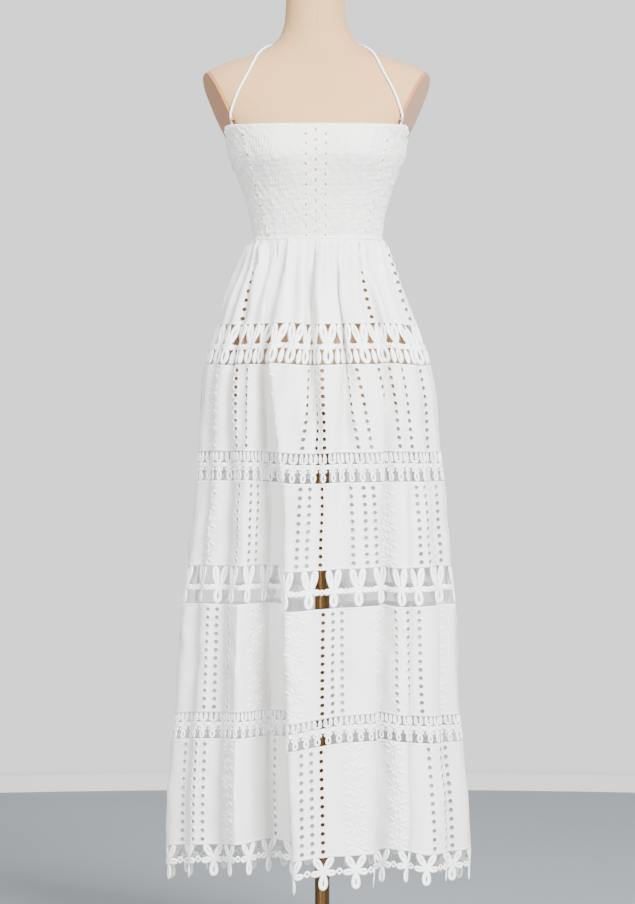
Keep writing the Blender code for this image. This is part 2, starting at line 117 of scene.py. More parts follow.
class Finish(Nodes):
    """A material and its nodes. The uniform values go straight to the shader's own sockets."""

    def __init__(self, name, **uniform):
        self.material = bpy.data.materials.new(name)
        self.material.use_nodes = True
        super().__init__(self.material.node_tree)
        self.shader = self.tree.nodes["Principled BSDF"]
        for socket, value in uniform.items():
            self.shader.inputs[socket.replace("_", " ")].default_value = value

    def drive(self, socket, value):
        self.tree.links.new(value.output, self.shader.inputs[socket])

    def noise(self, place, scale, detail=2.0, stretch=(1.0, 1.0, 1.0)):
        """Smooth random values from 0 to 1. scale counts the blobs in a metre."""
        turned = self.node("ShaderNodeMapping", {}, {"Vector": place, "Scale": stretch})
        sockets = {"Vector": turned, "Scale": scale, "Detail": detail}
        return self.node("ShaderNodeTexNoise", {}, sockets)

    def relief(self, height, distance, strength=1.0):
        """Feeds a height from 0 to 1, which stands for distance metres, to the normal."""
        sockets = {"Height": height, "Distance": distance, "Strength": strength}
        self.drive("Normal", self.node("ShaderNodeBump", {}, sockets))

    def let_light_through(self, share, colour):
        """Thin cloth: a share of the light that falls on one side leaves by the other."""
        glow = self.node("ShaderNodeBsdfTranslucent", {}, {"Color": colour})
        surface = Socket(self, self.shader.outputs[0])
        both = self.node("ShaderNodeMixShader", {}, {0: share, 1: surface, 2: glow})
        self.tree.links.new(both.output, self.tree.nodes["Material Output"].inputs["Surface"])

    def places(self, source="Object"):
        """Object coordinates, or the piece's UV map in metres of its flat pattern."""
        index = {"Object": 3, "UV": 2}[source]
        return self.node("ShaderNodeTexCoord", output=index)


def piece(name, bm, finish, smooth_angle=40, replaces=(), stage=False):
    """A finished mesh at the origin that rides on the root, or belongs to the studio."""
    mesh = bpy.data.meshes.new(name)
    bm.to_mesh(mesh)
    bm.free()
    mesh.shade_smooth()
    mesh.set_sharp_from_angle(angle=math.radians(smooth_angle))
    mesh.materials.append(finish.material)
    obj = bpy.data.objects.new(name, mesh)
    bpy.context.scene.collection.objects.link(obj)
    if stage:
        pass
    else:
        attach(obj, "root")
    if replaces:
        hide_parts(*replaces)
    return obj


def spun(outline, steps):
    """The surface that (radius, height) pairs sweep round the pole's axis."""
    bm = bmesh.new()
    corners = [bm.verts.new((radius, 0.0, height)) for radius, height in outline]
    edges = [bm.edges.new(pair) for pair in zip(corners, corners[1:])]
    bmesh.ops.spin(
        bm,
        geom=corners + edges,
        cent=(0, 0, 0),
        axis=(0, 0, 1),
        angle=math.tau,
        steps=steps,
        use_merge=True,
    )
    return bm


def painted(name, roughness, scale, low, high):
    """Plain paint that is a little cloudy."""
    finish = Finish(name, Roughness=roughness)
    finish.drive("Base Color", finish.tint(finish.noise(finish.places(), scale), low, high))
    return finish


floor_finish = painted("pale_floor", 0.6, 1.5, (0.134, 0.150, 0.168), (0.149, 0.166, 0.184))
floor_bm = bmesh.new()
bmesh.ops.create_circle(floor_bm, cap_ends=True, segments=128, radius=FLOOR_RADIUS)
piece("floor", floor_bm, floor_finish, stage=True)

skirting_finish = painted("white_skirting", 0.45, 3.0, (0.40, 0.40, 0.39), (0.44, 0.44, 0.43))
section = (
    (FLOOR_RADIUS, 0.0),
    (FLOOR_RADIUS, SKIRTING_HEIGHT),
    (FLOOR_RADIUS + 0.015, SKIRTING_HEIGHT + 0.008),
)
piece("skirting", spun(section, 128), skirting_finish, stage=True)

world = bpy.data.worlds.new("grey_backdrop")
bpy.context.scene.world = world
world.use_nodes = True
# The backdrop behind the form is lit, and the rest of the studio is dimmer.
backdrop = Nodes(world.node_tree)
_, behind, _ = backdrop.axes(backdrop.node("ShaderNodeTexCoord"))
glow = backdrop.tint(behind * 0.9 + 0.3, (0.60, 0.605, 0.61), (0.975, 0.985, 1.0))
background = world.node_tree.nodes["Background"]
background.inputs["Strength"].default_value = 1.45
world.node_tree.links.new(glow.output, background.inputs["Color"])


def facing(place, aim):
    """The rotation that turns a lamp or a camera at place towards aim."""
    return (Vector(aim) - Vector(place)).to_track_quat("-Z", "Y").to_euler()


def lamp(name, place, aim, size, power, colour):
    """A square softbox at place that shines towards aim."""
    data = bpy.data.lights.new(name, "AREA")
    data.size = size
    data.energy = power
    data.color = colour
    obj = bpy.data.objects.new(name, data)
    obj.location = place
    obj.rotation_euler = facing(place, aim)
    bpy.context.scene.collection.objects.link(obj)


lamp("key_softbox", (1.9, -3.8, 3.4), (0.0, 0.0, 1.20), 1.8, 1500.0, (0.965, 0.985, 1.0))
lamp("fill_softbox", (-2.8, -5.0, 1.8), (0.0, 0.0, 0.8), 2.6, 620.0, (0.98, 0.99, 1.0))

camera_data = bpy.data.cameras.new("photo_camera")
camera_data.sensor_width = SENSOR_WIDTH
camera_data.lens = SENSOR_WIDTH / 2 / (VIEW_HEIGHT / 2 / VIEW_DISTANCE)
camera = bpy.data.objects.new("photo_camera", camera_data)
camera.location = (CAMERA_X, -VIEW_DISTANCE, CAMERA_HEIGHT)
camera.rotation_euler = facing(camera.location, (CAMERA_X, 0.0, AIM_HEIGHT))
bpy.context.scene.collection.objects.link(camera)
bpy.context.scene.camera = camera


# The dress form: a padded torso with a short neck and no arms or head, covered in beige
# jersey that is stretched over it and sewn down the centre front and back. It is cut flat at
# the arms, on planes that lean outwards at the top.
WAIST = 1.2164
UNDERARM = 1.386
NECK_TOP = 1.6226
FORM_X = -0.008  # the form sits a little to one side of its pole
NECK_LEAN = -0.0085  # how far a metre of height carries the form's middle sideways
BUST = {"x": 0.072, "z": 1.362, "rise": 0.014, "across": 0.042, "upright": 0.036}
ARM_CUT_X = 0.1427
ARM_CUT_Z = 1.3885
ARM_CUT_LEAN = 0.39
ARM_CUT_TURN = 0.22  # the cuts also face a little forwards
# Height, half width, front depth, back depth, squareness of the section.
FORM_SECTIONS = (
    (0.9350, 0.138, 0.088, 0.100, 2.1),
    (0.9650, 0.148, 0.095, 0.109, 2.1),
    (1.0450, 0.151, 0.098, 0.118, 2.1),
    (1.1050, 0.141, 0.095, 0.112, 2.1),
    (1.1600, 0.122, 0.088, 0.096, 2.1),
    (WAIST, 0.1075, 0.083, 0.080, 2.1),
    (1.2480, 0.1105, 0.087, 0.080, 2.1),
    (1.2880, 0.1205, 0.096, 0.085, 2.15),
    (1.3280, 0.1350, 0.110, 0.090, 2.2),
    (1.3620, 0.1490, 0.119, 0.095, 2.25),
    (UNDERARM, 0.1515, 0.118, 0.097, 2.3),
    (1.4090, 0.1660, 0.111, 0.097, 2.4),
    (1.4300, 0.1790, 0.102, 0.096, 2.5),
    (1.4560, 0.1930, 0.090, 0.093, 2.5),
    (1.4770, 0.2020, 0.078, 0.088, 2.5),
    (1.4930, 0.1950, 0.069, 0.082, 2.5),
    (1.5040, 0.1830, 0.064, 0.078, 2.5),
    (1.5200, 0.1470, 0.060, 0.074, 2.4),
    (1.5330, 0.1060, 0.057, 0.070, 2.2),
    (1.5450, 0.0790, 0.055, 0.066, 2.0),
    (1.5600, 0.0630, 0.053, 0.061, 2.0),
    (1.5740, 0.0560, 0.052, 0.057, 2.0),
    (1.5920, 0.0520, 0.052, 0.054, 2.0),
    (NECK_TOP, 0.0500, 0.051, 0.051, 2.0),
)


def eased(place, places, values):
    """Values at the places wanted, on a smooth curve that never overshoots the table's rows."""
    order = np.argsort(places)
    x, y = np.asarray(places, float)[order], np.asarray(values, float)[order]
    step = np.diff(x)
    slope = np.diff(y) / step
    together = slope[:-1] * slope[1:] > 0
    total = np.where(together, slope[:-1] + slope[1:], 1.0)
    inner = np.where(together, 2 * slope[:-1] * slope[1:] / total, 0.0)
    tilt = np.concatenate([[slope[0]], inner, [slope[-1]]])
    place = np.clip(place, x[0], x[-1])
    k = np.clip(np.searchsorted(x, place) - 1, 0, len(step) - 1)
    t = (place - x[k]) / step[k]
    rise = y[k] + (y[k + 1] - y[k]) * t * t * (3 - 2 * t)
    return rise + step[k] * (tilt[k] * t * (1 - t) ** 2 - tilt[k + 1] * t * t * (1 - t))


def section_at(table, height):
    """Each column of a table of sections, at a height."""
    rows = np.array(table).T
    return [eased(height, rows[0], values) for values in rows[1:]]


def run_along(*axes):
    """The distance walked to each point of a line, from the line's coordinates."""
    steps = np.sqrt(sum(np.diff(values) ** 2 for values in axes))
    return np.concatenate([[0.0], np.cumsum(steps)])


def form_middle(height):
    return FORM_X + NECK_LEAN * (height - WAIST)


def superellipse(angle, half_width, front, back, squareness):
    """x and y at an angle counted from the front's middle towards +X."""
    sine, cosine = np.sin(angle), np.cos(angle)
    depth = np.where(cosine > 0, front, back)
    x = half_width * np.sign(sine) * np.abs(sine) ** (2 / squareness)
    y = -depth * np.sign(cosine) * np.abs(cosine) ** (2 / squareness)
    return x, y


def form_skin(angle, height, outwards=0.0):
    """Points of the form's surface, moved out level by a distance."""
    half_width, front, back, squareness = section_at(FORM_SECTIONS, height)

    def ring(turned):
        x, y = superellipse(turned, half_width, front, back, squareness)
        for side in (-1, 1):
            away = ((x - side * BUST["x"]) / BUST["across"]) ** 2
            away = away + ((height - BUST["z"]) / BUST["upright"]) ** 2
            y = y - np.where(np.cos(turned) > 0, BUST["rise"] * np.exp(-away), 0.0)
        return x, y

    x, y = ring(angle)
    (x1, y1), (x2, y2) = ring(angle - 0.01), ring(angle + 0.01)
    length = np.hypot(x2 - x1, y2 - y1)
    x = x + (y2 - y1) / length * outwards + form_middle(height)
    y = y - (x2 - x1) / length * outwards
    return np.stack([x, y, height + np.zeros_like(x)], axis=-1)


def sheet_of(columns, rows, width=1.0, height=1.0):
    """A flat grid from (0, 0) to (width, height)."""
    bm = bmesh.new()
    bmesh.ops.create_grid(bm, x_segments=columns, y_segments=rows, size=0.5)
    for vertex in bm.verts:
        vertex.co = Vector(((vertex.co.x + 0.5) * width, (vertex.co.y + 0.5) * height, 0.0))
    return bm


def keep_flat_places(bm, axes="xy", size=1.0):
    """Keeps each corner's flat place, in metres, as the UV map that weave and stitches follow."""
    layer = bm.loops.layers.uv.verify()
    for face in bm.faces:
        for loop in face.loops:
            loop[layer].uv = getattr(loop.vert.co, axes) * size


def mark_worked(bm, amounts):
    """Where the cloth is embroidered or folded double, and so looks whiter: 0 to 1."""
    layer = bm.verts.layers.float.new("worked")
    for vertex, amount in zip(bm.verts, amounts.tolist()):
        vertex[layer] = amount


def place_all(bm, points):
    for vertex, point in zip(bm.verts, points.tolist()):
        vertex.co = point


def flat_places(bm):
    return np.array([vertex.co[:] for vertex in bm.verts])


def cut(bm, geom, point, normal, **cleared):
    """Cuts along a plane, and takes away the side that cleared names."""
    bmesh.ops.bisect_plane(bm, geom=geom, dist=1e-6, plane_co=point, plane_no=normal, **cleared)


def close_ends(bm):
    """Closes the open rims of a piece and turns its faces outwards."""
    bmesh.ops.holes_fill(bm, edges=[edge for edge in bm.edges if edge.is_boundary], sides=0)
    bmesh.ops.recalc_face_normals(bm, faces=bm.faces)


def jersey(name, low, high):
    """Stretched knit: fine upright ribs and a little unevenness in its colour."""
    finish = Finish(name, Roughness=0.85, Specular_IOR_Level=0.25, Sheen_Weight=0.08, Sheen_Roughness=0.5)
    u, v, _ = finish.axes(finish.places("UV"))
    ribs = (u * (math.tau / 0.0016)).sine()
    rows = (v * (math.tau / 0.0012)).sine()
    cloud = finish.noise(finish.places(), 9.0, 3.0)
    finish.drive("Base Color", finish.tint(cloud, low, high))
    finish.relief(ribs * 0.30 + rows * 0.18 + 0.5, 0.0003, 0.7)
    return finish


torso_jersey = jersey("beige_jersey", (0.322, 0.186, 0.079), (0.358, 0.210, 0.093))
bm = sheet_of(112, 120)
keep_flat_places(bm, size=0.85)  # the torso is about so many metres round
rise = np.linspace(FORM_SECTIONS[0][0], NECK_TOP, 800)
along = run_along(rise, section_at(FORM_SECTIONS, rise)[0])
flat = flat_places(bm)
heights = np.interp(flat[:, 1] * along[-1], along, rise)
angles = (flat[:, 0] - 0.5) * math.tau
# The seams at the centre front and back draw the jersey in a little.
seam = np.exp(-((np.abs(np.sin(angles)) * 0.12 / 0.0020) ** 2))
seam *= np.interp(heights, (1.41, 1.43, 1.60, 1.62), (0.0, 1.0, 1.0, 0.0))
place_all(bm, form_skin(angles, heights, -0.0013 * seam))
bmesh.ops.remove_doubles(bm, verts=bm.verts, dist=1e-5)
close_ends(bm)
arm_rims = []
for side in (-1, 1):
    lean = Vector((side, -ARM_CUT_TURN, -ARM_CUT_LEAN)).normalized()
    middle = Vector((form_middle(ARM_CUT_Z) + side * ARM_CUT_X, 0.0, ARM_CUT_Z))
    shoulder = [face for face in bm.faces if min(v.co.z for v in face.verts) > UNDERARM - 0.002]
    edges = {edge for face in shoulder for edge in face.edges}
    corners = {vertex for face in shoulder for vertex in face.verts}
    cut(bm, [*shoulder, *edges, *corners], middle, lean, clear_outer=True)
    # The cut is closed flat, and a ledge under it is closed apart, where the bodice hides it.
    rim = [edge for edge in bm.edges if edge.is_boundary]
    flush = {v for edge in rim for v in edge.verts if abs((v.co - middle).dot(lean)) < 1e-4}
    arc = [edge for edge in rim if flush.issuperset(edge.verts)]
    ledge = [edge for edge in rim if not flush.issuperset(edge.verts)]
    ends = [vertex for vertex in flush if sum(edge in ledge for edge in vertex.link_edges) == 1]
    chord = bm.edges.new(ends)
    cap = bmesh.ops.edgeloop_fill(bm, edges=[*arc, chord])["faces"][0]
    bmesh.ops.edgeloop_fill(bm, edges=[*ledge, chord])
    arm_rims.append(([vertex.co.copy() for vertex in cap.verts], lean))
bmesh.ops.triangulate(bm, faces=[face for face in bm.faces if len(face.verts) > 4])
piece("form_cover", bm, torso_jersey, 50, ["form_torso"])


# The arm plates: flat boards covered in the same jersey, darker partly in its own colour and
# partly as painted shade, that close each arm's cut. Their rims are rounded over and they stand
# a little proud.
# Darker than the torso's jersey: partly its own colour, partly painted shade for the plates' sideways tilt.
plate_jersey_painted_shade = jersey("plate_jersey_painted_shade", (0.208, 0.092, 0.036), (0.248, 0.113, 0.046))
for name, (outline, lean) in zip(("left", "right"), arm_rims):
    bm = bmesh.new()
    centre = sum(outline, Vector()) / len(outline)
    rim = [bm.verts.new(centre + (point - centre) * 0.985 + lean * 0.0003) for point in outline]
    face = bm.faces.new(rim)
    # The plate's foot follows the bodice's edge, which climbs towards the front.
    corner, slope = (0.0, -0.012, UNDERARM + 0.003), (0.0, 0.023, 0.050)
    cut(bm, [face, *face.edges, *face.verts], corner, slope, clear_inner=True)
    made = bmesh.ops.extrude_face_region(bm, geom=bm.faces[:], use_keep_orig=True)["geom"]
    top = next(item for item in made if isinstance(item, bmesh.types.BMFace))
    bmesh.ops.translate(bm, verts=top.verts[:], vec=lean * 0.004)
    for shrink, climb in ((0.985, 0.0007), (0.970, 0.0004), (0.930, 0.0005), (0.70, 0.0004)):
        made = bmesh.ops.extrude_face_region(bm, geom=[top], use_keep_orig=True)["geom"]
        bmesh.ops.delete(bm, geom=[top], context="FACES_ONLY")
        top = next(item for item in made if isinstance(item, bmesh.types.BMFace))
        about = Matrix.Translation(-top.calc_center_median())
        bmesh.ops.scale(bm, vec=(shrink, shrink, shrink), space=about, verts=top.verts[:])
        bmesh.ops.translate(bm, verts=top.verts[:], vec=lean * climb)
    bmesh.ops.recalc_face_normals(bm, faces=bm.faces)
    keep_flat_places(bm, "yz")
    piece(f"arm_plate_{name}", bm, plate_jersey_painted_shade, 35, [f"form_arm_plate_{name}"])


# The neck cap: a plain turned cap covered in jersey that closes the neck, rounded at its edge.
CAP_HEIGHT = 0.020
CAP_PLACES = (0.0, 0.42, 0.62, 0.76, 0.88, 1.0)
bm = sheet_of(64, 24)
keep_flat_places(bm)
flat = flat_places(bm)
share = eased(flat[:, 1], CAP_PLACES, (1.0, 0.995, 0.95, 0.84, 0.50, 0.0))
climb = eased(flat[:, 1], CAP_PLACES, (0.0, 0.55, 0.82, 0.95, 0.995, 1.0))
x, y = superellipse(flat[:, 0] * math.tau, 0.0500 * share, 0.051 * share, 0.051 * share, 2.0)
x = x + form_middle(NECK_TOP)
place_all(bm, np.stack([x, y, NECK_TOP + 0.0003 + CAP_HEIGHT * climb], axis=-1))
bmesh.ops.remove_doubles(bm, verts=bm.verts, dist=1e-5)
close_ends(bm)
piece("neck_cap", bm, torso_jersey, 60, ["form_neck_cap"])


# The stand: a weighted round base, a plain pole and the flange that screws up under the form,
# all of brushed brass that has dulled a little. The pole's colour also carries upright streaks
# that are painted highlight streaks.
POLE_RADIUS = 0.0125
UNDERSIDE = 0.935  # of the dress form


def brass_dulling_and_painted_streaks(name, scale, stretch, low, high):
    finish = Finish(name, Metallic=1.0)
    # The colour noise is dulling; stretched upright on the pole it also paints highlight streaks.
    dulling_and_painted_streaks = finish.noise(finish.places(), scale, 3.0, stretch)
    finish.drive("Base Color", finish.tint(dulling_and_painted_streaks, low, high))
    finish.drive("Roughness", dulling_and_painted_streaks * 0.16 + 0.20)
    finish.relief(finish.noise(finish.places(), 900.0, 2.0, (1.0, 1.0, 0.03)), 0.00006, 0.5)
    return finish


# The pole's upright colour streaks: partly dulling of the drawn tube, partly painted highlight streaks.
drawn_and_painted_highlight_streaks = {"scale": 150.0, "stretch": (1.0, 1.0, 0.02)}
drawn_brass_painted_highlight_streaks = brass_dulling_and_painted_streaks("drawn_brass_painted_highlight_streaks", **drawn_and_painted_highlight_streaks, low=(0.052, 0.026, 0.009), high=(0.215, 0.118, 0.048))
cast = {"scale": 12.0, "stretch": (1.0, 1.0, 1.0)}
cast_brass = brass_dulling_and_painted_streaks("cast_brass", **cast, low=(0.15, 0.088, 0.035), high=(0.23, 0.140, 0.062))


def turned(name, outline, replaces, finish=cast_brass, steps=72):
    """A brass piece turned on the pole's axis from (radius, height) pairs, lowest first."""
    bm = spun(outline, steps)
    close_ends(bm)
    piece(name, bm, finish, 35, [replaces])


turned(
    "base_dish",
    (
        (0.168, 0.0), (0.1692, 0.0006), (0.170, 0.003), (0.170, 0.009), (0.1690, 0.0113),
        (0.1665, 0.0126), (0.160, 0.0132), (0.110, 0.0146), (0.060, 0.0160), (0.031, 0.0170),
        (0.0268, 0.0180), (0.0250, 0.0205), (0.0250, 0.0302), (0.0243, 0.0315), (0.0230, 0.0320),
    ),
    "stand_base",
    steps=96,
)
turned(
    "pole_tube",
    tuple((POLE_RADIUS, z) for z in np.linspace(0.0323, UNDERSIDE - 0.0126, 9)),
    "stand_pole",
    drawn_brass_painted_highlight_streaks,
)
turned(
    "flange_plate",
    (
        (0.0185, UNDERSIDE - 0.0123), (0.0205, UNDERSIDE - 0.0119), (0.0350, UNDERSIDE - 0.0058),
        (0.0360, UNDERSIDE - 0.0048), (0.0360, UNDERSIDE - 0.0010), (0.0353, UNDERSIDE - 0.0003),
    ),
    "stand_flange",
)


# The bodice: eyelet cotton shirred on rows of elastic thread, so that it puckers into fine
# upright pleats. A plain heading frills along its top edge. Front and back are one cut each,
# sewn at the sides, and stretched over the form.
NECKLINE = 1.409
HALF_GAP = 0.00015  # each side's half of the gap between two pieces at their seam
PLEAT = 0.0042
ELASTIC = 0.0080
BODICE_HOLE = 0.0015
LINE_HOLES = 11
OPEN_LINES = (0, 2, 3, 4, 7)  # the other lines are closed by the pleats


def cotton(name, low, high, thread=0.00045):
    """Plain-woven cotton: threads, thicker slubs here and there, and a soft crumple."""
    finish = Finish(name, Roughness=0.82, Sheen_Weight=0.20, Sheen_Roughness=0.45)
    flat = finish.places("UV")
    u, v, _ = finish.axes(flat)
    weave = (u * (math.tau / thread)).sine() * 0.25 + (v * (math.tau / thread)).sine() * 0.25
    warp, weft = (finish.noise(flat, 420.0, 2.0, way) for way in ((0.12, 1.0, 1.0), (1.0, 0.12, 1.0)))
    slubs = warp + weft
    crumple = finish.noise(finish.places(), 60.0, 3.0)
    cloud = finish.noise(finish.places(), 7.0, 3.0)
    plain = finish.tint(cloud, low, high)
    worked = finish.node("ShaderNodeAttribute", {"attribute_name": "worked"}, output=2)
    mix = {"data_type": "RGBA"}
    sockets = {0: worked, 6: plain, 7: (0.97, 0.97, 0.97, 1.0)}
    finish.drive("Base Color", finish.node("ShaderNodeMix", mix, sockets, 2))
    finish.relief(weave + slubs * 0.35 + crumple * 0.9, 0.0007, 0.55)
    finish.let_light_through(0.36, (0.95, 0.92, 0.89, 1.0))
    return finish


def waves(u, v, seed, length, count=6):
    """A smooth random field from -1 to 1 over a flat pattern, from a few crossing waves."""
    draw = random.Random(seed)
    total = 0.0
    for _ in range(count):
        turn = draw.uniform(0.0, math.pi)
        pitch = length * draw.uniform(0.7, 1.5)
        phase = draw.uniform(0.0, math.tau)
        total = total + np.sin((u * math.cos(turn) + v * math.sin(turn)) * math.tau / pitch + phase)
    return total / count


def thicken(obj, thickness, rim_only=False):
    """Gives a sheet its thickness, half of it to each side."""
    wall = obj.modifiers.new("thickness", "SOLIDIFY")
    wall.thickness = thickness
    wall.offset = 0.0
    wall.use_rim_only = rim_only


white_cotton = cotton("white_cotton", (0.885, 0.868, 0.850), (0.925, 0.910, 0.893))


def bodice_top(angle):
    """The top edge: level across the front, dipping to the underarm and the back."""
    degrees = np.abs((np.degrees(angle) + 180.0) % 360.0 - 180.0)
    return eased(degrees, (0.0, 60.0, 70.0, 86.0, 180.0), (NECKLINE, NECKLINE, 1.402, UNDERARM, UNDERARM))


def around_form(half, across):
    """The angle for each share of the way across a half, evenly spaced at bust height."""
    angle = np.linspace(-math.pi / 2, math.pi / 2, 721) + half * math.pi
    ring = form_skin(angle, np.full_like(angle, 1.33))
    arc = run_along(*ring.T)
    return np.interp(across * arc[-1], arc, angle), arc[-1]


# The embroidered eyelets of the front run in lines: the x of a line at the top edge and at
# the waist. The middle three stand upright and the outer ones slant in with the cut.
BODICE_LINES = (
    (-0.1290, -0.0800), (-0.0930, -0.0640), (-0.0200, -0.0190), (-0.0030, -0.0030),
    (0.0140, 0.0130), (0.0640, 0.0480), (0.0900, 0.0620), (0.1220, 0.0770),
)
for half, side in enumerate(("front", "back")):
    width = around_form(half, np.array([1.0]))[1]
    height = NECKLINE - WAIST
    bm = sheet_of(round(width / PLEAT) * 4, 96, width, height)
    keep_flat_places(bm)
    flat = flat_places(bm)
    spots = np.linspace(0, 1, 361)
    angle, _ = around_form(half, spots)
    holes = []
    for number, (top_x, foot_x) in enumerate(BODICE_LINES):
        for k in range(LINE_HOLES):
            share = (k + (0.75 if number % 2 else 0.35)) / 11.4
            ring = form_skin(angle, np.full_like(angle, WAIST + height * share))[:, 0] - FORM_X
            x = foot_x + (top_x - foot_x) * share
            order = np.argsort(ring)
            across = np.interp(x, ring[order], spots[order])
            holes.append((across * width, share * height))
    holes = np.array(holes)
    away = flat[:, None, :2] - holes[None]
    away_length = np.linalg.norm(away, axis=2)
    nearest = away_length.argmin(axis=1)
    rows_of = np.arange(len(flat))
    distance = away_length[rows_of, nearest]
    direction = away[rows_of, nearest] / np.maximum(distance, 1e-6)[:, None]
    snap = (distance > 0.8 * BODICE_HOLE) & (distance < 1.35 * BODICE_HOLE)
    flat[snap, :2] = holes[nearest[snap]] + direction[snap] * BODICE_HOLE
    u, v = flat[:, 0], flat[:, 1]
    share = v / height
    wander = waves(u, v * 0.6, 11 + half, 0.05) * 3.2 + waves(u, v, 15 + half, 0.020) * 2.2
    puff = np.sqrt(np.clip(0.5 + 0.5 * np.cos(math.tau * u / PLEAT + wander), 0, 1))
    puff = puff * np.clip(0.8 + 0.9 * waves(u, v * 0.7, 19 + half, 0.014), 0.2, 1.4)
    band = 0.5 - 0.5 * np.cos(math.tau * (height - v) / ELASTIC)
    calm = 1 - 0.75 * np.exp(-((distance / 0.0042) ** 4))
    out = 0.0008 + 0.0002 * band * calm + (0.0013 + 0.0005 * band) * puff * calm
    out += 0.0009 * np.exp(-(((distance - 0.0030) / 0.0011) ** 2))
    out += 0.0006 * waves(u, v, 31 + half, 0.03) + 0.0008 * waves(u, v, 35 + half, 0.0075)
    # Satin flecks are worked beside the eyelets, and a scalloped cord runs down each side.
    flecks = np.clip(waves(u, v, 61 + half, 0.0050) * 3.0 - 0.3, 0, 1) * np.exp(-((distance / 0.0075) ** 2))
    for number in (0, -1):
        run = holes[LINE_HOLES * (number % len(BODICE_LINES)):][:LINE_HOLES]
        aside = u - np.interp(v, run[:, 1], run[:, 0]) - 0.0012 * np.cos(math.tau * v / 0.0066)
        flecks = np.maximum(flecks, np.exp(-((aside / 0.0014) ** 2)))
    out += 0.0017 * flecks
    # The plain heading above the first elastic flares a little, and the waist is pinched.
    heading = np.clip((v - (height - 0.006)) / 0.006, 0, 1)
    out += heading * (0.0006 + 0.0008 * puff)
    out = np.maximum(out, 0.0007)
    out *= np.interp(v, (0.0, 0.004, 0.010), (0.75, 0.8, 1.0))
    out += 0.0030 * np.exp(-((v / 0.0035) ** 2))
    angle, _ = around_form(half, u / width)
    angle = angle + (0.5 - u / width) * 2 * HALF_GAP / 0.11
    ruffle = 0.0007 * waves(u, v * 0, 51 + half, 0.012) * heading
    level = WAIST + HALF_GAP + (bodice_top(angle) - WAIST - HALF_GAP) * share + ruffle
    place_all(bm, form_skin(angle, level, out))
    stitched = np.exp(-(((distance - 0.0030) / 0.0016) ** 2)) + heading + flecks
    mark_worked(bm, np.clip(stitched + np.exp(-((v / 0.004) ** 2)), 0, 1))
    opened = (distance < 0.8 * BODICE_HOLE) & np.isin(nearest // LINE_HOLES, OPEN_LINES)
    gone = [vertex for vertex, through in zip(bm.verts, opened) if through]
    bmesh.ops.delete(bm, geom=gone, context="VERTS")
    shirring = piece(f"shirring_{side}", bm, white_cotton, 60, [f"bodice_{side}"])
    thicken(shirring, 0.0004, rim_only=True)
    width * 1.15


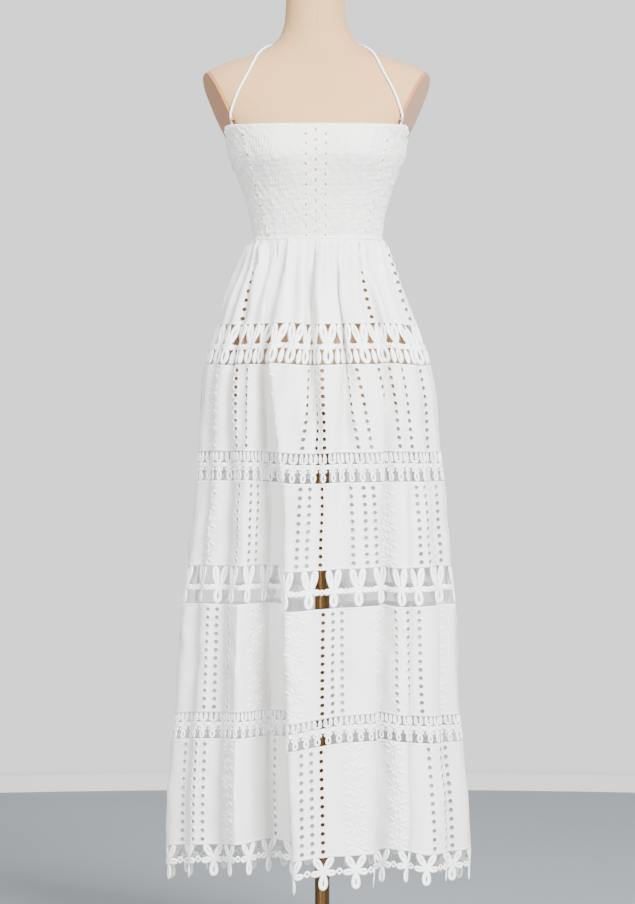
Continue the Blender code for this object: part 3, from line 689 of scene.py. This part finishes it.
# The halter straps: two narrow tubes of the same cotton, sewn into the bodice's front corners.
# They lie on the chest and shoulders and join at the nape.
STRAP_RADIUS = 0.0021
STRAP_CLEARANCE = 0.0009
STRAP_STEPS = 140
STRAP_ROUTE = (
    (0.1475, -0.062, 1.4090), (0.1410, -0.075, 1.4350), (0.1270, -0.070, 1.4720),
    (0.1120, -0.058, 1.5010), (0.0960, -0.036, 1.5260), (0.0850, -0.010, 1.5430),
    (0.0740, 0.022, 1.5510), (0.0520, 0.052, 1.5500), (0.0260, 0.064, 1.5480),
    (0.0005, 0.068, 1.5480),
)
form_cover = bpy.data.objects["form_cover"]
for name, side in (("left", -1), ("right", 1)):
    middle = form_middle(1.47)
    knots = np.array([(side * x + middle, y, z) for x, y, z in STRAP_ROUTE])
    travel = run_along(*knots.T)
    steps = np.linspace(0, travel[-1], STRAP_STEPS + 1)
    guide = np.stack([eased(steps, travel, knots[:, axis]) for axis in range(3)], axis=-1)
    laid = []
    for point in guide:
        _, found, normal, _ = form_cover.closest_point_on_mesh(Vector(point))
        laid.append(found + normal * (STRAP_RADIUS + STRAP_CLEARANCE))
    laid = np.array([tuple(point) for point in laid])
    for _ in range(12):
        laid[1:-1] = (laid[:-2] + laid[1:-1] * 2 + laid[2:]) / 4
    # Its foot passes over the corner of the arm plate.
    bend = (1.410, 1.418, 1.424, 1.430, 1.438, 1.446)
    laid[:, 0] += side * np.interp(laid[:, 2], bend, (0.0003, 0.0010, 0.0008, 0.0002, 0.0, 0.0))
    laid[:, 1] -= np.interp(laid[:, 2], bend, (0.0030, 0.0052, 0.0060, 0.0028, 0.0006, 0.0))
    laid[0, 2] = 1.4100
    laid[-1, 0] = middle + side * HALF_GAP
    length = float(run_along(*laid.T)[-1])
    bm = sheet_of(14, STRAP_STEPS, math.tau * STRAP_RADIUS, length)
    keep_flat_places(bm)
    flat = flat_places(bm)
    around = flat[:, 0] / STRAP_RADIUS
    step = np.round(flat[:, 1] / length * STRAP_STEPS).astype(int)
    ahead = np.gradient(laid, axis=0)
    ahead /= np.linalg.norm(ahead, axis=1)[:, None]
    across = np.cross(ahead, (0.0, 1.0, 0.0))
    across /= np.linalg.norm(across, axis=1)[:, None]
    lift = np.cross(across, ahead)
    radius = STRAP_RADIUS * (0.95 + 0.05 * waves(flat[:, 0] * 3, flat[:, 1], 71 + side, 0.012))
    seam_dent = 1 - 0.12 * np.exp(-(((around - math.pi * 0.35) / 0.3) ** 2))
    reach = (radius * seam_dent)[:, None]
    ring = np.cos(around)[:, None] * across[step] + np.sin(around)[:, None] * lift[step]
    place_all(bm, laid[step] + reach * ring)
    mark_worked(bm, np.ones(len(flat)))
    bmesh.ops.remove_doubles(bm, verts=bm.verts, dist=1e-5)
    # Each end is tucked into the tube.
    for end in (laid[0], laid[-1]):
        end = Vector(end)
        rim = [edge for edge in bm.edges if edge.is_boundary and (edge.verts[0].co - end).length < 0.01]
        made = bmesh.ops.extrude_edge_only(bm, edges=rim)["geom"]
        tucked = [item for item in made if isinstance(item, bmesh.types.BMVert)]
        bmesh.ops.scale(bm, verts=tucked, vec=(0.2, 0.2, 0.2), space=Matrix.Translation(-end))
    bmesh.ops.recalc_face_normals(bm, faces=bm.faces)
    strap = piece(f"halter_{name}", bm, white_cotton, 60, [f"strap_{name}"])


# The skirt's tiers: five bands of eyelet cotton, each cut as a front and a back and sewn at
# the sides. The first is gathered into the waist. Every band hangs in the skirt's own folds.
# The embroidery is worked before the cutting: lines of whipped eyelets, and raised flowers.
HEM = 0.1300
# Each band hangs between two seams, an upper and a lower one.
BANDS = ("tier1", "lace1", "tier2", "lace2", "tier3", "lace3", "tier4", "lace4", "tier5", "hem_lace")
HEIGHTS = (WAIST, 1.0735, 1.0055, 0.8576, 0.8083, 0.6638, 0.5992, 0.4122, 0.3680, 0.1878, HEM)
SEAM = dict(zip(BANDS, zip(HEIGHTS, HEIGHTS[1:])))
# Height, shift to the side, half width, front depth, back depth.
SKIRT_SECTIONS = (
    (WAIST, 0.0000, 0.1118, 0.0873, 0.0843),
    (1.1840, -0.0010, 0.1220, 0.097, 0.098),
    (1.1330, -0.0025, 0.1430, 0.114, 0.122),
    (1.0735, 0.0005, 0.1660, 0.135, 0.146),
    (1.0055, 0.0005, 0.1900, 0.152, 0.166),
    (0.9450, 0.0020, 0.1995, 0.160, 0.175),
    (0.8576, 0.0030, 0.2060, 0.168, 0.182),
    (0.8083, 0.0045, 0.2105, 0.173, 0.188),
    (0.6638, 0.0025, 0.2245, 0.187, 0.202),
    (0.5992, 0.0015, 0.2330, 0.193, 0.208),
    (0.4122, -0.0010, 0.2425, 0.206, 0.222),
    (0.3680, -0.0010, 0.2475, 0.210, 0.226),
    (0.1878, 0.0010, 0.2590, 0.220, 0.238),
    (HEM, 0.0000, 0.2585, 0.223, 0.241),
)
# Hanging folds. Each row: angle from the front's middle in degrees, half width in degrees
# and depth in metres, each of the three at hem, knee, hip and waist, and how flat its bed is.
FOLD_HEIGHTS = (HEM, 0.75, 1.07, WAIST)
FOLDS = (
    ((-22, -28, -31, -30), (11.5, 10, 3.4, 1.8), (0.116, 0.070, 0.026, 0.005), 8),
    ((-50, -52, -52, -52), (20, 20, 18, 15), (0.050, 0.028, 0.004, 0.000), 2),
    ((27, 35, 41, 38), (4.2, 4, 2.8, 1.8), (0.062, 0.040, 0.020, 0.004), 2),
    ((41, 48, 50, 50), (4.5, 4.5, 4, 3), (0.026, 0.010, 0.008, 0.001), 2),
    ((7, 10, 16, 16), (4, 4, 2.6, 1.6), (0.005, 0.012, 0.030, 0.005), 2),
    ((-1, -2, -4, -4), (4, 4, 2.6, 1.6), (0.000, 0.008, 0.030, 0.005), 2),
    ((-54, -56, -52, -50), (5, 5, 3, 3), (0.012, 0.010, 0.012, 0.001), 2),
    ((-74, -74, -72, -70), (5, 5, 4, 4), (0.018, 0.012, 0.006, 0.001), 2),
    ((66, 70, 68, 68), (6, 6, 5, 4), (0.030, 0.016, 0.007, 0.001), 2),
    ((101, 99, 97, 97), (6, 5, 4, 4), (0.034, 0.020, 0.006, 0.001), 2),
    ((123, 120, 118, 118), (7, 6, 5, 4), (0.048, 0.030, 0.008, 0.001), 3),
    ((146, 142, 140, 140), (5, 4.5, 4, 3), (0.030, 0.016, 0.007, 0.001), 2),
    ((168, 165, 163, 163), (9, 7.5, 5, 4), (0.070, 0.042, 0.010, 0.001), 3),
    ((192, 190, 186, 186), (5, 4.5, 4, 3), (0.028, 0.018, 0.007, 0.001), 2),
    ((213, 212, 208, 208), (7.5, 6.5, 5, 4), (0.058, 0.034, 0.009, 0.001), 3),
    ((236, 234, 232, 232), (5, 5, 4, 4), (0.030, 0.016, 0.006, 0.001), 2),
    ((256, 257, 254, 254), (6, 5.5, 4.5, 4), (0.040, 0.022, 0.007, 0.001), 2),
)
GATHERS = 34  # rises and falls in a half
GATHER_HEIGHTS = (0.6638, 0.8576, 1.0055, 1.0735, 1.1330, 1.1840, WAIST)
GATHER_REACH = (0.0000, 0.0006, 0.0018, 0.0032, 0.0046, 0.0036, 0.0012)
GATHER_SHARES = (1.0, 0.6, 0.9, 0.5, 1.15, 0.7, 1.0, 0.85, 0.45)
HANG_STEP = 0.003
HANG_PLACES = 721
CLOTH_CLEARANCE = 0.0028  # of the skirt's cloth where it lies on the form


def skirt_ring(height):
    """One ring of the skirt from the -X side round the front and back: x, y, arc length."""
    angle = np.radians(np.linspace(-90.0, 270.0, 2161))
    shift, half_width, front, back = map(float, section_at(SKIRT_SECTIONS, height))
    x, y = superellipse(angle, half_width, front, back, 2.0)

    def slope(values):
        return np.gradient(np.concatenate([[values[-2]], values, [values[1]]]))[1:-1]

    normal = np.stack([slope(y), -slope(x)])
    normal /= np.linalg.norm(normal, axis=0)
    inward = np.zeros_like(angle)
    for centres, half_widths, depths, bed in FOLDS:
        centre, half_width, depth = (
            float(eased(height, FOLD_HEIGHTS, values)) for values in (centres, half_widths, depths)
        )
        away = (np.degrees(angle) - centre + 180.0) % 360.0 - 180.0
        inward += depth * np.exp(-np.abs(away / half_width) ** bed)
    x, y = x - normal[0] * inward, y - normal[1] * inward
    return x + FORM_X + shift, y, run_along(x, y)


# How far the front hangs above its level, in millimetres, at each share of the way across:
# the cloth lifts in the deep fold and drops where it swings forward.
SWAY_ACROSS = (
    0, 0.097, 0.145, 0.194, 0.252, 0.304, 0.361, 0.410, 0.462, 0.515,
    0.563, 0.612, 0.660, 0.709, 0.757, 0.806, 0.855, 0.903, 1,
)
SWAY_HEIGHTS = (HEM, 0.188, 0.39, 0.63, 0.83, 1.04, 1.14, WAIST)
SWAY = (
    (0, 11, 16, 19, 21, 22, 17, -2, -5, 4, 7, 6, 5, 13, 13, 5, 8, 6, 0),
    (0, 9, 11, 14, 17, 20, 15, -4, -8, 0, 3, 5, 2, 10, 7, -2, 0, -3, 0),
    (0, 8, 9, 11, 12, 13, 13, -2, -5, 3, 10, 13, 13, 12, 8, 5, 3, 2, 0),
    (0, 3, 3, 3, 5, 5, 2, -5, -5, -2, 0, 2, 4, 4, 0, 0, 2, 3, 0),
    (0, 2, 2, 3, 2, 0, 0, 0, -2, -2, 0, 0, 0, 1, 1, 1, 0, 0, 0),
    (0, 0, -2, -1, 0, 1, 2, 0, -2, -2, -1, 0, 0, 0, 3, 2, 0, -2, 0),
    (0,) * 19,
    (0,) * 19,
)
hang_heights = np.arange(HEM - 0.009, WAIST + 0.006, HANG_STEP)
hang_table = np.zeros((2, len(hang_heights), HANG_PLACES, 4))
half_arcs = np.zeros((2, len(hang_heights)))
for row, level in enumerate(hang_heights):
    x, y, arc = skirt_ring(level)
    ends = (arc[0], arc[len(arc) // 2], arc[-1])
    for half in (0, 1):
        place = np.linspace(ends[half] + HALF_GAP, ends[half + 1] - HALF_GAP, HANG_PLACES)
        half_arcs[half, row] = ends[half + 1] - ends[half]
        px, py = np.interp(place, arc, x), np.interp(place, arc, y)
        nx = np.interp(place + 0.003, arc, y) - np.interp(place - 0.003, arc, y)
        ny = np.interp(place - 0.003, arc, x) - np.interp(place + 0.003, arc, x)
        length = np.hypot(nx, ny)
        hang_table[half, row] = np.stack([px, py, nx / length, ny / length], axis=-1)


def half_arc(half, height):
    return float(np.interp(height, hang_heights, half_arcs[half]))


def rest_on_form(x, y, height):
    """Moves the cloth out to the form's surface where it would lie inside the form."""
    half_width, front, back, square = section_at(FORM_SECTIONS, height)
    middle = form_middle(height)
    depth = np.where(y < 0, front, back) + CLOTH_CLEARANCE
    inside = np.abs((x - middle) / (half_width + CLOTH_CLEARANCE)) ** square + np.abs(y / depth) ** square
    push = np.where(height > UNDERSIDE, np.maximum(inside, 1e-6) ** (-1 / square), 0.0)
    push = np.maximum(push, 1.0)
    return middle + (x - middle) * push, y * push


def sway(half, across, height):
    """How far above its level the cloth hangs, in metres."""
    if half == 0:
        lifts = np.stack([eased(across, SWAY_ACROSS, row) for row in SWAY])
    else:
        swing = np.sin(math.pi * across)
        lifts = np.stack([waves(across, level * 0.3, 91, 0.3) * 9 * swing for level in SWAY_HEIGHTS])
        lifts[-2:] = 0.0
    k = np.clip(np.searchsorted(SWAY_HEIGHTS, height) - 1, 0, len(SWAY_HEIGHTS) - 2)
    t = np.clip((height - np.array(SWAY_HEIGHTS)[k]) / np.diff(SWAY_HEIGHTS)[k], 0, 1)
    point = np.arange(len(across))
    return 0.001 * (lifts[k, point] * (1 - t) + lifts[k + 1, point] * t)


def hang(half, across, height, outwards):
    """Points of the skirt: across is a share of the way over a half, 0 the front, 1 the back."""
    row = np.clip((height - hang_heights[0]) / HANG_STEP, 0, len(hang_heights) - 1.001)
    column = np.clip(across * (HANG_PLACES - 1), 0, HANG_PLACES - 1.001)
    r, c = row.astype(int), column.astype(int)
    fr, fc = (row - r)[:, None], (column - c)[:, None]
    table = hang_table[half]
    low = table[r, c] * (1 - fc) + table[r, c + 1] * fc
    high = table[r + 1, c] * (1 - fc) + table[r + 1, c + 1] * fc
    found = low * (1 - fr) + high * fr
    turn = across * GATHERS
    k = np.clip(turn.astype(int), 0, GATHERS - 1)
    t = 0.5 - 0.5 * np.cos(math.pi * (turn - k))
    shares = np.array(GATHER_SHARES)
    peak = (1 - 2 * (k % 2)) * shares[k % 9] * (1 - t) - (1 - 2 * (k % 2)) * shares[(k + 1) % 9] * t
    outwards = outwards + peak * np.interp(height, GATHER_HEIGHTS, GATHER_REACH)
    x, y = found[:, 0] + found[:, 2] * outwards, found[:, 1] + found[:, 3] * outwards
    x, y = rest_on_form(x, y, height)
    return np.stack([x, y, height + sway(half, across, height)], axis=-1)


def band_size(band, half):
    """The width and height of a band's flat piece."""
    top, foot = SEAM[band]
    return half_arc(half, (top + foot) / 2), top - foot


def hang_band(bm, band, half, u, v, outwards):
    """Hangs a flat band between its seams."""
    width, _ = band_size(band, half)
    level = SEAM[band][1] + HALF_GAP + v
    place_all(bm, hang(half, np.clip(u / width, 0, 1), level, outwards))


# Where the embroidery's lines stand on the front, in millimetres from the left side seam at
# the band's mid height: eyelets, then raised flowers. The back repeats at even steps.
EMBROIDERY = {
    "tier1": (9, (66, 356, 440, 456), ()),
    "tier2": (10, (132, 151, 329, 360, 376, 442, 469, 504, 558, 584, 650), (58, 249)),
    "tier3": (10, (150, 175, 195, 356, 376, 396, 452, 474, 495, 626, 646, 708), (68, 277, 560, 680)),
    "tier4": (13, (99, 116, 153, 454, 472, 490, 640, 663, 698), (227, 407, 562, 778)),
    "tier5": (12, (56, 96, 114, 307, 461, 477, 494, 773, 804, 866), (179, 373, 554, 692)),
}
EYELET = {"ring": 0.0056, "rise": 0.0011}
STITCHED_EDGE = 0.0034
STITCH_WIDTH = 0.0005
FLOWER = {"core": 0.0042, "wide": 0.0215, "tall": 0.0150, "petal": 0.0068}
COLUMN_PITCH = 0.00567
CHAIN_PITCH = 0.031


def turn_up(bm, face):
    """Makes a flat face point along +Z, out of the cloth."""
    face.normal_update()
    if face.normal.z < 0:
        bmesh.ops.reverse_faces(bm, faces=[face])


def petal_relief(bm, x, y, angle, length, width, rise):
    """A padded satin-stitch petal from (x, y) outwards, as a low closed mound."""
    made = bmesh.ops.create_circle(bm, cap_ends=True, segments=8, radius=0.5)["verts"]
    place = Matrix.Translation((x, y, 0.0)) @ Matrix.Rotation(angle, 4, "Z")
    place = place @ Matrix.Translation((length / 2, 0.0, 0.0)) @ Matrix.Diagonal((length, width, 1.0, 1.0))
    bmesh.ops.transform(bm, matrix=place, verts=made)
    face = made[0].link_faces[0]
    turn_up(bm, face)
    for climb in (rise, rise * 0.35):
        bmesh.ops.inset_individual(bm, faces=[face], thickness=width * 0.16, depth=climb)


def looseness(band, half, u, v, height):
    """How far a hanging band stands off its smooth shape: slack, and gathers at its top."""
    seed = int(band[-1]) * 10 + half
    ease_in = np.sin(math.pi * np.clip(v / height, 0, 1)) ** 0.7
    slack = 0.0034 * waves(u * 1.4, v * 0.4, seed, 0.075) + 0.0019 * waves(u, v * 0.5, seed + 5, 0.030)
    drop = height - v
    if band == "tier1":
        fine = 0.0040 * waves(u, v * 0.05, seed + 3, 0.010, 4) * np.exp(-drop / 0.045)
        soft = 0.0100 * waves(u, v * 0.05, seed + 7, 0.026, 5) * np.exp(-((drop - 0.045) / 0.075) ** 2)
        gather = (fine + soft) * np.clip(drop / 0.012, 0.12, 1) * np.clip(v / 0.05, 0.25, 1)
    else:
        gather = 0.0018 * waves(u, v * 0.08, seed + 3, 0.012, 4) * np.exp(-drop / 0.040)
        gather = gather * np.clip(drop / 0.004, 0.15, 1)
    return slack * ease_in + gather


for band, (count, eyelets, flowers) in EMBROIDERY.items():
    for half, side in enumerate(("front", "back")):
        width, height = band_size(band, half)
        height -= 2 * HALF_GAP
        rows = 3 * count + 1
        columns = round(width / COLUMN_PITCH)
        if half == 0:
            lines, chains = eyelets, flowers
        else:
            starts = np.arange(0.062, width - 0.05, 0.160)
            lines = [1000 * (start + k * 0.0172) for start in starts for k in range(3)]
            chains = [1000 * (start + 0.097) for start in starts if start + 0.13 < width]
        bm = sheet_of(columns, rows, width, height)
        pitch_x, pitch_y = width / columns, height / rows
        corners = {}
        for vertex in bm.verts:
            corners[round(vertex.co.x / pitch_x), round(vertex.co.y / pitch_y)] = vertex
        taken, centres = -9, []
        for line in sorted(lines):
            column = max(round(line / 1000 / pitch_x), taken + 3)
            if column > columns - 2:
                continue
            taken = column
            centres += [corners[column, 3 * k + 2] for k in range(count)]
        bmesh.ops.dissolve_verts(bm, verts=centres)
        rings = [face for face in bm.faces if len(face.verts) == 8]
        for face in rings:
            middle = face.calc_center_median()
            for vertex in face.verts:
                vertex.co = middle + (vertex.co - middle).normalized() * EYELET["ring"]
        for thickness, depth in ((0.0005, EYELET["rise"]), (0.0008, 0.0), (0.0005, -EYELET["rise"])):
            bmesh.ops.inset_individual(bm, faces=rings, thickness=thickness, depth=depth)
        bmesh.ops.delete(bm, geom=rings, context="FACES")
        upper = height - STITCHED_EDGE
        for line in (STITCHED_EDGE, STITCHED_EDGE + STITCH_WIDTH, upper - STITCH_WIDTH, upper):
            cut(bm, [*bm.faces, *bm.edges, *bm.verts], (0, line, 0), (0, 1, 0))
        if band == "tier1" and half == 0:
            bmesh.ops.subdivide_edges(bm, edges=bm.edges, cuts=1, use_grid_fill=True)
        keep_flat_places(bm)
        u, v, raised = flat_places(bm).T
        edge = np.minimum(v, height - v)
        raised = raised + 0.0006 * (edge < STITCHED_EDGE + 0.0001)
        mark_worked(bm, np.clip(raised / 0.0006, 0, 1))
        out = raised + looseness(band, half, u, v, height)
        hang_band(bm, band, half, u, v, out)
        panel = piece(f"{band}_{side}_eyelet_cotton", bm, white_cotton, 50, [f"{band}_{side}"])
        thicken(panel, 0.0006)
        worked = []
        if chains:
            bm = bmesh.new()
            repeats = round(height / CHAIN_PITCH)
            for line in chains:
                for k in range(repeats):
                    x, y = line / 1000, height * (k + 0.5) / repeats
                    for turn in range(8):
                        angle = math.radians(22.5 + 45 * turn)
                        core = FLOWER["core"]
                        length = FLOWER["wide" if abs(math.cos(angle)) > 0.5 else "tall"] - core
                        start_x, start_y = x + core * math.cos(angle), y + core * math.sin(angle)
                        petal_relief(bm, start_x, start_y, angle, length, FLOWER["petal"], 0.0010)
                    petal_relief(bm, x - 0.0024, y, 0.0, 0.0048, 0.0048, 0.0008)
            keep_flat_places(bm)
            u, v, raised = flat_places(bm).T
            out = 0.0002 + raised + looseness(band, half, u, v, height)
            hang_band(bm, band, half, u, v, out)
            mark_worked(bm, np.ones(len(u)))
            worked = [piece(f"{band}_{side}_flowers", bm, white_cotton, 60)]


# The lace insertions: bands of guipure lace, worked as thick cords round open loops that are
# joined where they touch, with no net behind. Each is sewn between two tiers. The wide ones
# are rows of five-petalled flowers on posts, and the narrow ones are small close flowers.
def satin(name, low, high):
    """Lace cord: fine satin stitches laid close across it."""
    finish = Finish(name, Roughness=0.70, Sheen_Weight=0.15, Sheen_Roughness=0.4)
    flat = finish.places("UV")
    stitches = finish.noise(flat, 1500.0, 2.0, (1.0, 0.35, 1.0))
    cloud = finish.noise(finish.places(), 18.0, 2.0)
    finish.drive("Base Color", finish.tint(cloud, low, high))
    finish.relief(stitches, 0.0004, 0.5)
    finish.let_light_through(0.34, (0.93, 0.92, 0.91, 1.0))
    return finish


white_lace = satin("white_lace", (0.86, 0.86, 0.86), (0.92, 0.92, 0.92))


# A cord's section: the share of its width that each step takes, and whether it climbs or falls.
ROUND_CORD = ((0.38, 1), (0.24, 0), (0.38, -1))
THIN_CORD = ((0.50, 1), (0.50, -1))


def loop(bm, x, y, degrees, length, width, cord, rise=0.0009, base=0.55, segments=14, steps=ROUND_CORD):
    """One cord loop like a petal: it starts at (x, y), narrow, and rounds over at its tip."""
    made = bmesh.ops.create_circle(bm, cap_ends=True, segments=segments, radius=1.0)["verts"]
    face = made[0].link_faces[0]
    for vertex in made:
        share = (1 + vertex.co.x) / 2
        vertex.co = Vector((share * length, vertex.co.y * width / 2 * (base + (1 - base) * share), 0.0))
    turn_up(bm, face)
    turn = Matrix.Translation((x, y, 0.0)) @ Matrix.Rotation(math.radians(degrees), 4, "Z")
    bmesh.ops.transform(bm, matrix=turn, verts=made)
    face.normal_update()
    for share, way in steps:
        bmesh.ops.inset_individual(bm, faces=[face], thickness=cord * share, depth=rise * way)
    bmesh.ops.delete(bm, geom=[face], context="FACES_ONLY")


def flower_ring(bm, x, y, radius, petals, cord, turn=90.0):
    """A small flower: a lobed ring of cord round one open eye."""
    segments = petals * 4
    made = bmesh.ops.create_circle(bm, cap_ends=True, segments=segments, radius=1.0)["verts"]
    face = made[0].link_faces[0]
    for vertex in made:
        angle = math.atan2(vertex.co.y, vertex.co.x)
        lobe = 0.78 + 0.22 * abs(math.cos(petals * (angle - math.radians(turn)) / 2)) ** 0.8
        vertex.co = Vector((x + radius * lobe * math.cos(angle), y + radius * lobe * math.sin(angle), 0.0))
    turn_up(bm, face)
    bmesh.ops.inset_individual(bm, faces=[face], thickness=cord * 0.4, depth=0.0007)
    bmesh.ops.inset_individual(bm, faces=[face], thickness=cord * 0.6, depth=-0.0004)
    bmesh.ops.delete(bm, geom=[face], context="FACES_ONLY")


def flower_on_posts(bm, x, pitch, size, cord, fullness, inner_leg):
    """A flower of the wide lace: two petals up, ovals across, and a wide post down."""
    height = size[1]
    middle = height * 0.46
    reach = (height - middle) / math.cos(math.radians(12))
    for degrees, aside in ((78, 0.0030), (102, -0.0030)):
        loop(bm, x + aside, middle, degrees, reach + 0.0012, pitch * 0.35 * fullness, cord, base=0.62)
    for degrees in (-7, 187):
        loop(bm, x, middle, degrees, pitch / 2 - 0.0022, 0.0135, cord * 0.9, base=0.5)
    loop(bm, x, middle + 0.001, 270, middle + 0.0008, pitch * 0.42 * fullness, cord * 1.1, base=0.7)
    flower_ring(bm, x, middle, 0.0058, 5, 0.0034)
    flower_ring(bm, x + pitch / 2, middle - 0.002, 0.0052, 4, 0.0032)
    if inner_leg:
        top = middle - 0.005
        loop(bm, x + pitch / 2, top, 270, top - 0.0002, pitch * 0.34, cord * 0.9, base=0.8, segments=10)


def small_flower(bm, x, pitch, size):
    """A flower of the narrow lace: a post below it, two loops above and a ring beside it."""
    width, height = size
    middle = height * 0.50
    thin = {"cord": 0.0028, "segments": 8, "steps": THIN_CORD}
    for turn in range(5):
        loop(bm, x, middle, 90 + 72 * turn, 0.0104, 0.0096, base=0.45, **thin)
    loop(bm, x, middle - 0.0070, 270, middle - 0.0068, 0.0114, 0.0036, base=0.8, segments=10)
    for aside in (-0.0046, 0.0046):
        length = height - middle - 0.0066
        loop(bm, x + aside, height + 0.0002, 270, length, 0.0084, base=0.6, **thin)
    flower_ring(bm, min(x + pitch / 2, width - pitch), middle + 0.0015, 0.0042, 4, 0.0026)


def work_lace(band, pitch, motif, **shape):
    for half, side in enumerate(("front", "back")):
        width, height = band_size(band, half)
        count = round(width / pitch)
        step = width / count
        bm = bmesh.new()
        for k in range(count):
            motif(bm, (k + 0.5) * step, step, (width, height), **shape)
        keep_flat_places(bm)
        covered = sum(face.calc_area() for face in bm.faces)
        u, v, raised = flat_places(bm).T
        hang_band(bm, band, half, u, v, raised - 0.0003)
        lace = piece(f"{band}_{side}_guipure", bm, white_lace, 60, [f"{band}_{side}"])
        thicken(lace, 0.0008)
        area = min(max(covered, 0.31 * width * height), width * height)


work_lace("lace1", 0.031, flower_on_posts, cord=0.0062, fullness=1.55, inner_leg=True)
work_lace("lace3", 0.042, flower_on_posts, cord=0.0060, fullness=1.05, inner_leg=False)
for band in ("lace2", "lace4"):
    work_lace(band, 0.0185, small_flower)


# The hem lace: a row of large five-petalled flowers that hangs free below the last tier and
# ends in their dropped petals. Small loops join each flower to the next.
def hem_flower(bm, x, pitch, size):
    """A large flower whose lowest petal ends the cloth, and a ring beside it."""
    height, y = size[1], 0.031
    for degrees in (60, 120):
        loop(bm, x, y, degrees, (height - y) / math.cos(math.radians(30)) + 0.0010, 0.0160, 0.0058)
    for degrees in (-5, 185):
        loop(bm, x, y, degrees, 0.0215, 0.0150, 0.0055)
    loop(bm, x, y, 270, y + 0.0005, 0.0195, 0.0066)
    flower_ring(bm, x, y, 0.0050, 5, 0.0030)
    flower_ring(bm, x + pitch / 2, y + 0.001, 0.0062, 4, 0.0032)


work_lace("hem_lace", 0.0555, hem_flower)
